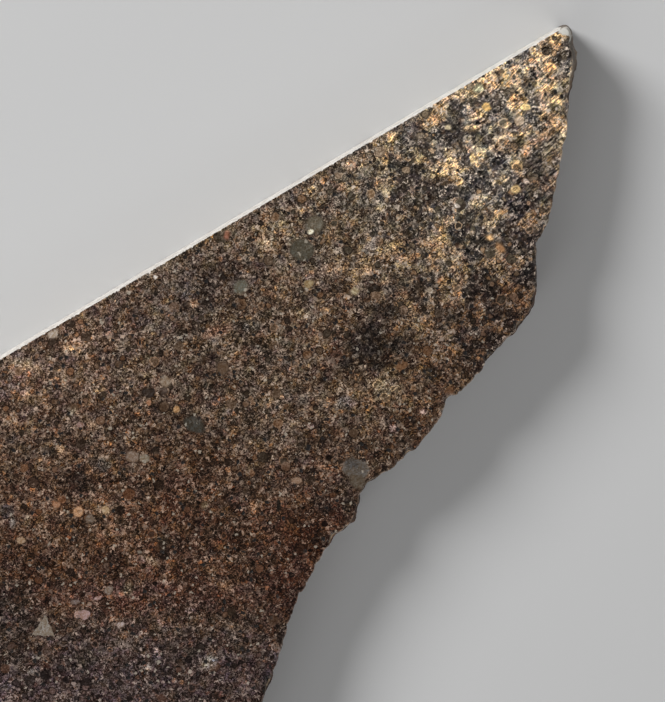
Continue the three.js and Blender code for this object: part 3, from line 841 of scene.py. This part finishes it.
def stonePattern(tree, named=True):
    # The cut stone, one solid pattern through the whole slab, in mm. Lightness is e to the power
    # of a sum: clouds, a mosaic of rounded grains, fine grains and dust. It multiplies the tone,
    # the patches and the grains with a border, and pale flecks and specks lie on top.
    g = grainwork
    place = add(tree, "ShaderNodeTexCoord").outputs["Object"]
    where = scaled(tree, place, 1 / mm)
    bent = wander(tree, where, g["warpSize"], g["warp"])
    ragged = wander(tree, where, g["raggedSize"], g["ragged"])
    tone = toneField(tree, where)
    if named:
        tone, patched = addPatches(tree, {"mm": bent}, tone)
        calmer = wander(tree, where, g["grainWarpSize"], g["grainWarp"])
        grainColour, grainMask = addGrains(tree, {"mm": calmer}, tone)

    cloud = noise(tree, where, g["cloud"], 2, 0.5)
    mosaic = cells(tree, bent, g["mosaic"])
    kind, hue, chance = parts(tree, mosaic.outputs["Color"])
    body = between(tree, mosaic.outputs["Distance"], *g["mosaicEdge"])
    fine = parts(tree, cells(tree, bent, g["fine"]).outputs["Color"])
    dust = noise(tree, where, g["dust"], 1, 0.5)
    along = parts(tree, where, "ShaderNodeSeparateXYZ")[0]
    tipSide = nearTip(tree, along, g["tipSide"])
    tipEnd = nearTip(tree, along, g["tipEnd"])

    def leftInPatch(part):
        # one outside the patches, and less inside them
        return between(tree, patched, 0.0, 1.0, 1.0, g["inPatch"][part])

    # towards the tip the stone breaks up into grey clasts and a paler, warmer ground
    coarse = maths(tree, "MULTIPLY", maths(tree, "SUBTRACT", cloud, 0.5), g["cloudDepth"])
    clast = between(tree, noise(tree, bent, g["clast"], 2, 0.5), *g["clastEdge"], *g["clastLight"])
    clast = maths(tree, "MULTIPLY_ADD", body, -g["tipNet"], clast)
    coarse = maths(tree, "MULTIPLY_ADD", tipSide, clast, coarse)
    coarse = maths(tree, "MINIMUM", coarse, g["brightest"])
    if named:
        coarse = maths(tree, "MULTIPLY", coarse, leftInPatch("cloud"))

    # fine grains, dust, and the streaks that the saw left
    small = maths(tree, "MULTIPLY", maths(tree, "SUBTRACT", fine[0], 0.5), g["fineDepth"])
    depth = maths(tree, "MULTIPLY_ADD", tipEnd, -g["tipDust"] * g["dustDepth"], g["dustDepth"])
    small = maths(tree, "MULTIPLY_ADD", maths(tree, "SUBTRACT", dust, 0.5), depth, small)
    stroke = mapped(tree, where, (0, 0, g["strokeTurn"]), (g["strokeLength"], 1, 1))
    stroke = noise(tree, stroke, g["stroke"], 1, 0.5)
    dash = maths(tree, "MULTIPLY", between(tree, stroke, *g["dash"]), tipEnd)
    stroke = maths(tree, "SUBTRACT", stroke, 0.5)
    low, high = g["strokeDepth"]
    depth = maths(tree, "MULTIPLY_ADD", tipEnd, high - low, low)
    small = maths(tree, "MULTIPLY_ADD", stroke, depth, small)
    low, least = g["darkStone"]
    small = maths(tree, "MULTIPLY", small, between(tree, coarse, low, 0.0, least, 1.0))

    # hue of each grain, soft changes of hue, and how light and dark stone differ in hue
    hues = ramp(tree, hue, grainHues)
    hues = times(tree, hues, ramp(tree, kind, grainKinds, step=True))
    drift = parts(tree, noise(tree, where, g["drift"], 2, 0.5, "Color"))
    red, blue = g["warmDrift"]
    depths = ((0, red), (1, g["greenDrift"]), (0, blue))
    tint = [maths(tree, "MULTIPLY_ADD", drift[k], depth, 1 - depth / 2) for k, depth in depths]
    tint = add(tree, "ShaderNodeCombineColor", dict(enumerate(tint))).outputs[0]
    lightHue = blend(tree, nearTip(tree, along, g["goldenSide"]), *g["lightHue"])
    darkHue = blend(tree, tipSide, *g["darkHue"])
    total = maths(tree, "MULTIPLY_ADD", small, g["hueFine"], coarse)
    shown = maths(tree, "MULTIPLY", body, leftInPatch("mosaic")) if named else body
    colour = times(tree, tone, blend(tree, shown, (1.0, 1.0, 1.0), hues))
    colour = times(tree, colour, tint)
    total = between(tree, total, -g["hueRange"], g["hueRange"])
    colour = times(tree, colour, blend(tree, total, darkHue, lightHue))
    light = maths(tree, "EXPONENT", coarse)
    colour = times(tree, colour, grey(tree, light))

    shown = leftInPatch("chondrules") if named else 1.0
    colour, smallBalls = addChondrules(tree, bent, tone, colour, "smallChondrules", shown)
    colour, largeBalls = addChondrules(tree, bent, tone, colour, "largeChondrules", shown)
    calm = maths(tree, "MAXIMUM", smallBalls, largeBalls)
    calm = maths(tree, "MULTIPLY_ADD", calm, -g["chondruleCalm"], 1.0)
    if named:
        colour = blend(tree, grainMask, colour, grainColour)
        less = maths(tree, "MULTIPLY_ADD", tipSide, g["tipLessCalm"], -g["grainCalm"])
        calm = maths(tree, "MULTIPLY_ADD", grainMask, less, calm)
    calm = maths(tree, "MAXIMUM", calm, g["calmest"])
    light = maths(tree, "MULTIPLY", small, calm)
    most = maths(tree, "MULTIPLY_ADD", tipEnd, g["tipLightest"] - g["lightest"], g["lightest"])
    light = maths(tree, "EXPONENT", maths(tree, "MINIMUM", light, most))
    light = maths(tree, "MULTIPLY_ADD", light, g["contrast"], g["contrastFrom"])
    colour = times(tree, colour, grey(tree, light))
    shine = blend(tree, tipSide, *g["shineHue"])
    small = between(tree, small, -g["shineRange"], g["shineRange"])
    colour = times(tree, colour, blend(tree, small, g["shadeHue"], shine))

    # pale flecks, small and ragged, in about half of their cells and in loose crowds
    fleckShift, crowdShift, threadShift = g["shifts"]
    found = cells(tree, vectors(tree, "ADD", ragged, fleckShift), g["fleck"])
    luck, shine, _ = parts(tree, found.outputs["Color"])
    radius = between(tree, luck, 1 - g["fleckShare"], 1.0, *g["fleckRadius"], smooth=False)
    fleck = maths(tree, "SUBTRACT", radius, found.outputs["Distance"])
    fleck = between(tree, fleck, 0.0, g["fleckEdge"])
    fleck = maths(tree, "MULTIPLY", fleck, maths(tree, "GREATER_THAN", luck, 1 - g["fleckShare"]))
    crowd = noise(tree, vectors(tree, "ADD", where, crowdShift), g["crowd"], 1, 0.5)
    crowd = maths(tree, "MULTIPLY_ADD", cloud, 0.4, crowd)
    crowd = between(tree, crowd, *g["crowdEdge"], g["crowdLeast"], 1.0)
    fleck = maths(tree, "MULTIPLY", maths(tree, "MULTIPLY", fleck, crowd), calm)
    pale = times(tree, tone, [g["fleckLight"]] * 3)
    pale = blend(tree, g["fleckOwn"], g["fleckColour"], pale)
    pale = times(tree, pale, grey(tree, maths(tree, "MULTIPLY_ADD", shine, 0.6, 0.75)))
    colour = blend(tree, fleck, colour, pale)
    # pale threads: short bits of the lines where an uneven field passes its middle value
    thread = noise(tree, bent, g["thread"], 0, 0.5)
    thread = maths(tree, "ABSOLUTE", maths(tree, "SUBTRACT", thread, 0.5))
    broken = noise(tree, vectors(tree, "ADD", where, threadShift), g["threadLength"], 1, 0.5)
    thread = between(tree, thread, *g["threadEdge"])
    thread = maths(tree, "MULTIPLY", thread, between(tree, broken, *g["threadEnds"]))
    thread = maths(tree, "MULTIPLY", maths(tree, "MULTIPLY", thread, calm), g["threadCover"])
    colour = blend(tree, thread, colour, pale)
    # white dashes along the saw's strokes, white specks, and black pits in some of the grains
    dash = maths(tree, "MULTIPLY", dash, maths(tree, "MULTIPLY", calm, g["dashCover"]))
    colour = blend(tree, dash, colour, g["dashColour"])
    speck = maths(tree, "GREATER_THAN", fine[1], 1 - g["speckShare"])
    colour = blend(tree, maths(tree, "MULTIPLY", speck, g["speckCover"]), colour, g["speckColour"])
    pit = between(tree, chance, *g["pitLuck"])
    pit = maths(tree, "MULTIPLY", pit, between(tree, mosaic.outputs["Distance"], *g["pitEdge"]))
    black = maths(tree, "MULTIPLY", maths(tree, "MULTIPLY", pit, calm), g["pitCover"])
    colour = blend(tree, black, colour, g["pitColour"])
    return {"where": where, "bent": bent, "colour": colour, "body": body, "kind": kind,
            "fine": fine, "pit": pit, "cloud": cloud, "dust": dust}


def newMaterial(name):
    # a material with its node tree and its shader
    material = bpy.data.materials.new(name)
    material.use_nodes = True
    tree = material.node_tree
    return material, tree, tree.nodes["Principled BSDF"]


def screenToLinear(tree, colour):
    # each part of the colour to the power of 2.2
    return add(tree, "ShaderNodeGamma", {"Color": colour, "Gamma": 2.2}).outputs[0]


def raised(tree, shader, height, depth):
    # a bump as deep as depth mm for a height of one
    bump = add(tree, "ShaderNodeBump", {"Height": height, "Strength": 1.0, "Distance": depth * mm})
    tree.links.new(bump.outputs[0], shader.inputs["Normal"])


def attribute(tree, name):
    # a number kept at the corners of the mesh
    return add(tree, "ShaderNodeAttribute", attribute_name=name).outputs["Fac"]


# Sizes and heights of the bumps are in mm. Limits are given as above, and a cover is how much
# of the stone is hidden, first at least and then at most.
polish = {
    "roughness": (0.22, 0.34), "pitRoughness": 0.4, "shine": 0.32,
    "grainHeight": 0.002, "pitDepth": 0.03,
    # the arris's pale colour is partly wear and partly a painted highlight
    "arrisWidth": (0.15, 0.03), "arrisPatch": (0.35, 0.6), "arrisCover": (0.25, 0.85),
    "arris": (0.52, 0.48, 0.44),
    # the corner's near-white colour is a painted highlight
    "corner": ((-0.6, -0.35), (0.55, 0.36), -50, (0.85, 0.84, 0.81)), "cornerSoft": 0.3,
}


def polishedStone():
    # the whole pattern, with the arris towards the rim pale here and there, partly worn and partly a
    # painted highlight, and a painted white highlight on the sharp corner; pits are rough and sunk
    material, tree, shader = newMaterial("polishedStone")
    stone = stonePattern(tree)
    colour = stone["colour"]
    # pale along the arris: partly wear, partly a painted highlight
    worn = between(tree, attribute(tree, "arris"), *polish["arrisWidth"])
    cover = between(tree, stone["cloud"], *polish["arrisPatch"], *polish["arrisCover"])
    colour = blend(tree, maths(tree, "MULTIPLY", worn, cover), colour, polish["arris"])
    # a painted white highlight on the sharp corner
    at, size, turn, shade = polish["corner"]
    corner = ellipse(tree, {"mm": stone["bent"]}, at, size, turn, polish["cornerSoft"])
    colour = blend(tree, corner, colour, shade)
    tree.links.new(screenToLinear(tree, colour), shader.inputs["Base Color"])
    shader.inputs["Specular IOR Level"].default_value = polish["shine"]
    low, high = polish["roughness"]
    rough = maths(tree, "MULTIPLY_ADD", stone["kind"], high - low, low)
    rough = maths(tree, "MULTIPLY_ADD", stone["pit"], polish["pitRoughness"], rough)
    tree.links.new(rough, shader.inputs["Roughness"])
    height = maths(tree, "MULTIPLY", stone["fine"][0], polish["grainHeight"] / polish["pitDepth"])
    raised(tree, shader, maths(tree, "SUBTRACT", height, stone["pit"]), polish["pitDepth"])
    return material


edge = {
    "dust": (0.9, 0.888, 0.865), "cover": (0.66, 0.94), "patch": 0.7, "patchEdge": (0.35, 0.6),
    "lines": 0.16, "stretch": 16, "lean": 24, "lineDepth": 0.42,  # the blade's lines
    "roughness": (0.5, 0.8), "height": 0.02, "grainHeight": 0.4,
}


def sawnEdge():
    # stone under a film of pale saw dust, with fine slanting lines left by the blade
    material, tree, shader = newMaterial("sawnEdge")
    stone = stonePattern(tree, named=False)
    along = mapped(tree, stone["where"], (0, edge["lean"], 0), (1, 1, edge["stretch"]))
    lines = noise(tree, along, edge["lines"], 1, 0.5)
    cover = noise(tree, stone["where"], edge["patch"], 3, 0.6)
    cover = between(tree, cover, *edge["patchEdge"], *edge["cover"])
    streak = maths(tree, "SUBTRACT", lines, 0.5)
    cover = maths(tree, "MULTIPLY_ADD", streak, edge["lineDepth"], cover, clamp=True)
    colour = blend(tree, cover, stone["colour"], edge["dust"])
    tree.links.new(screenToLinear(tree, colour), shader.inputs["Base Color"])
    low, high = edge["roughness"]
    rough = maths(tree, "MULTIPLY_ADD", lines, high - low, low)
    tree.links.new(rough, shader.inputs["Roughness"])
    height = maths(tree, "MULTIPLY_ADD", stone["dust"], edge["grainHeight"], lines)
    raised(tree, shader, height, edge["height"])
    return material


back = {
    "dust": (0.6, 0.575, 0.54), "cover": (0.2, 0.5), "arcEdge": (0.38, 0.62), "dustDepth": 0.5,
    "blade": (-40, 150.0), "lines": 0.55,  # the blade's middle: its x, and how far off the edge
    "stain": (0.88, 0.572, 0.374), "stainSize": 7.0, "stainEdge": (0.56, 0.7), "stainCover": (0.0, 0.5),
    "roughEdge": (0.35, 0.65), "roughness": (0.5, 0.72), "height": 0.03, "grainHeight": 0.2,
}


def sawnBack():
    # dull sawn stone with the shallow arcs of a large blade, dust between them and a few stains:
    # the arcs are an uneven field of the distance from the blade's middle
    material, tree, shader = newMaterial("sawnBack")
    stone = stonePattern(tree, named=False)
    x, radius = back["blade"]
    hub = (zero[0] + x, zero[1] - radius, 0)
    away = vectors(tree, "DISTANCE", vectors(tree, "MULTIPLY", stone["where"], (1, 1, 0)), hub)
    away = add(tree, "ShaderNodeCombineXYZ", {0: away}).outputs[0]
    arcs = noise(tree, away, back["lines"], 4, 0.65)
    cover = between(tree, arcs, *back["arcEdge"], *back["cover"])
    dust = maths(tree, "SUBTRACT", stone["dust"], 0.5)
    cover = maths(tree, "MULTIPLY_ADD", dust, back["dustDepth"], cover, clamp=True)
    colour = blend(tree, cover, stone["colour"], back["dust"])
    stain = noise(tree, stone["where"], back["stainSize"], 4, 0.6)
    stain = between(tree, stain, *back["stainEdge"], *back["stainCover"])
    colour = blend(tree, stain, colour, times(tree, colour, back["stain"]))
    tree.links.new(screenToLinear(tree, colour), shader.inputs["Base Color"])
    rough = between(tree, arcs, *back["roughEdge"], *back["roughness"])
    tree.links.new(rough, shader.inputs["Roughness"])
    height = maths(tree, "MULTIPLY_ADD", stone["dust"], back["grainHeight"], arcs)
    raised(tree, shader, height, back["height"])
    return material


crust = {
    "crumb": 0.55, "patch": 3.4, "patchShare": 0.55,  # fine and broad unevenness of its colour
    # black, brown, rust and tan, with where each one lies in that
    "colours": [
        (0.38, (0.12, 0.1, 0.09)), (0.47, (0.22, 0.165, 0.135)), (0.55, (0.36, 0.24, 0.17)),
        (0.63, (0.45, 0.36, 0.28)),
    ],
    "stone": 0.42,  # how much of the stone's own pattern shows
    "hollowCrumb": 1.6,
    "soil": (0.6, 0.52, 0.42), "soilEdge": (0.15, 0.75), "soilCover": (0.0, 0.7),
    "worn": (0.5, 0.45, 0.39), "wornEdge": (-0.25, -0.9), "wornCover": (0.0, 0.35),
    # the pale front arris is partly wear and partly a painted highlight
    "arrisWidth": (0.3, 0.03), "arrisPatch": (0.4, 0.6), "arrisCover": (0.2, 0.8),
    # near the sharp corner, by the distance from it: freshly broken, then a painted white highlight
    "fresh": (0.52, 0.49, 0.45), "freshReach": (5.4, 4.2), "freshCover": (0.0, 0.6),
    "cornerHighlight": (0.85, 0.84, 0.81), "cornerHighlightReach": (1.7, 0.7), "cornerHighlightCover": (0.0, 0.9),
    "reachCrumb": 3.0,
    "shine": 0.3, "roughEdge": (-0.8, 0.8), "roughness": (0.62, 0.92),
    "height": 0.12, "grainHeight": (0.25, 0.2),
}


def weatheredRim():
    # brown crust with rust, the stone's grains showing through, soil in the hollows, paler knobs
    # and arrises (the front arris partly a painted highlight), a fresh pale break at the tip, and a
    # painted white highlight on the sharp corner
    material, tree, shader = newMaterial("weatheredRim")
    stone = stonePattern(tree, named=False)
    where = stone["where"]
    crumb = noise(tree, where, crust["crumb"], 5, 0.62)
    share = crust["patchShare"]
    patch = noise(tree, where, crust["patch"], 3, 0.55)
    shade = maths(tree, "MULTIPLY_ADD", patch, share, maths(tree, "MULTIPLY", crumb, 1 - share))
    colour = blend(tree, crust["stone"], ramp(tree, shade, crust["colours"]), stone["colour"])
    uneven = maths(tree, "SUBTRACT", crumb, 0.5)
    hollow = attribute(tree, "hollow")
    hollow = maths(tree, "MULTIPLY_ADD", uneven, crust["hollowCrumb"], hollow)
    worn = between(tree, hollow, *crust["wornEdge"], *crust["wornCover"])
    colour = blend(tree, worn, colour, crust["worn"])
    dusty = grey(tree, maths(tree, "MULTIPLY_ADD", stone["dust"], 0.8, 0.6))
    soil = between(tree, hollow, *crust["soilEdge"], *crust["soilCover"])
    colour = blend(tree, soil, colour, times(tree, dusty, crust["soil"]))
    height = parts(tree, where, "ShaderNodeSeparateXYZ")[2]
    # the arris at the foot and the front arris paler; at the front this is partly a painted highlight
    foot = between(tree, height, *crust["arrisWidth"])
    arris = between(tree, attribute(tree, "arris"), *crust["arrisWidth"])
    arris = maths(tree, "MAXIMUM", foot, arris)
    cover = between(tree, crumb, *crust["arrisPatch"], *crust["arrisCover"])
    colour = blend(tree, maths(tree, "MULTIPLY", arris, cover), colour, crust["worn"])
    tip = vectors(tree, "DISTANCE", where, (zero[0], zero[1], slab["thickness"]))
    tip = maths(tree, "MULTIPLY_ADD", uneven, crust["reachCrumb"], tip)
    dusty = grey(tree, maths(tree, "MULTIPLY_ADD", stone["dust"], 0.7, 0.65))
    fresh = between(tree, tip, *crust["freshReach"], *crust["freshCover"])
    colour = blend(tree, fresh, colour, times(tree, dusty, crust["fresh"]))
    # a painted white highlight round the sharp corner
    cornerHighlight = between(tree, tip, *crust["cornerHighlightReach"], *crust["cornerHighlightCover"])
    colour = blend(tree, cornerHighlight, colour, crust["cornerHighlight"])
    tree.links.new(screenToLinear(tree, colour), shader.inputs["Base Color"])
    shader.inputs["Specular IOR Level"].default_value = crust["shine"]
    rough = between(tree, hollow, *crust["roughEdge"], *crust["roughness"])
    tree.links.new(rough, shader.inputs["Roughness"])
    body, dust = crust["grainHeight"]
    relief = maths(tree, "MULTIPLY_ADD", stone["body"], body, crumb)
    relief = maths(tree, "MULTIPLY_ADD", stone["dust"], dust, relief)
    raised(tree, shader, relief, crust["height"])
    return material


print("slab: materials")
for material in (polishedStone(), sawnEdge(), sawnBack(), weatheredRim()):
    piece.data.materials.append(material)

studio = {
    "floor": 0.58, "floorHalf": 3.0, "floorGap": 0.00002, "world": 0.1,
    # name: azimuth from the sawn edge's outward side, elevation, distance, size and watts
    "lamps": {
        "key": (20, 30, 0.7, 0.30, 5.3),
        "left": (115, 38, 0.7, 0.40, 0.8),
        "right": (-100, 38, 0.7, 0.40, 0.8),
        "front": (180, 40, 0.7, 0.40, 0.7),
    },
}

view = {
    "target": (-33.02, -14.52), "distance": 300.0, "tilt": 5.9, "roll": 30.5,  # mm and degrees
    "pixel": 0.09, "imageHeight": 702,  # a pixel in mm, and how many of them
    "sensor": 36.0, "clip": (0.01, 20),
}


def makeFloor():
    # one square just under the slab
    size = studio["floorHalf"]
    mesh = bpy.data.meshes.new("floor")
    corner = [(-size, -size, 0), (size, -size, 0), (size, size, 0), (-size, size, 0)]
    mesh.from_pydata(corner, [], [(0, 1, 2, 3)])
    floor = bpy.data.objects.new("floor", mesh)
    floor.location.z = cadLow.z - studio["floorGap"]
    bpy.context.scene.collection.objects.link(floor)
    material, tree, shader = newMaterial("paleFloor")
    shader.inputs["Base Color"].default_value = (studio["floor"],) * 3 + (1,)
    shader.inputs["Roughness"].default_value = 0.9
    shader.inputs["Specular IOR Level"].default_value = 0.1
    mesh.materials.append(material)


def makeLamps():
    # round soft lamps that face the slab's middle, and an even grey sky
    centre = Vector(((cadLow + cadHigh) / 2).to_tuple())
    for name, (turn, rise, away, size, watts) in studio["lamps"].items():
        data = bpy.data.lights.new(name, "AREA")
        data.shape, data.size, data.energy = "DISK", size, watts
        lamp = bpy.data.objects.new(name, data)
        a, e = radians(turn), radians(rise)
        out = Vector((-sin(a) * cos(e), cos(a) * cos(e), sin(e)))
        lamp.location = centre + out * away
        lamp.rotation_euler = out.to_track_quat("Z", "Y").to_euler()
        bpy.context.scene.collection.objects.link(lamp)
    world = bpy.data.worlds.new("studio")
    world.use_nodes = True
    world.node_tree.nodes["Background"].inputs[0].default_value = (studio["world"],) * 3 + (1,)
    bpy.context.scene.world = world


def makeCamera():
    # looks down on the polished face, tilted a little towards the sawn edge and rolled so that
    # the edge climbs to the right. The lens is as long as the sensor is wide, times the distance
    # over the height of the picture on the stone
    tilt, roll = radians(view["tilt"]), radians(view["roll"])
    back = Vector((0, sin(tilt), cos(tilt)))
    flatUp = Vector((0, cos(tilt), -sin(tilt)))
    right = cos(roll) * Vector((1, 0, 0)) - sin(roll) * flatUp
    up = sin(roll) * Vector((1, 0, 0)) + cos(roll) * flatUp
    target = Vector((zero[0] + view["target"][0], zero[1] + view["target"][1], slab["thickness"])) * mm
    data = bpy.data.cameras.new("camera")
    data.sensor_width = view["sensor"]
    data.lens = view["sensor"] * view["distance"] / (view["pixel"] * view["imageHeight"])
    data.clip_start, data.clip_end = view["clip"]
    camera = bpy.data.objects.new("camera", data)
    facing = Matrix((right, up, back)).transposed().to_4x4()
    camera.matrix_world = Matrix.Translation(target + back * view["distance"] * mm) @ facing
    bpy.context.scene.collection.objects.link(camera)
    bpy.context.scene.camera = camera


makeFloor()
makeLamps()
makeCamera()
bpy.context.scene.view_settings.view_transform = "Standard"
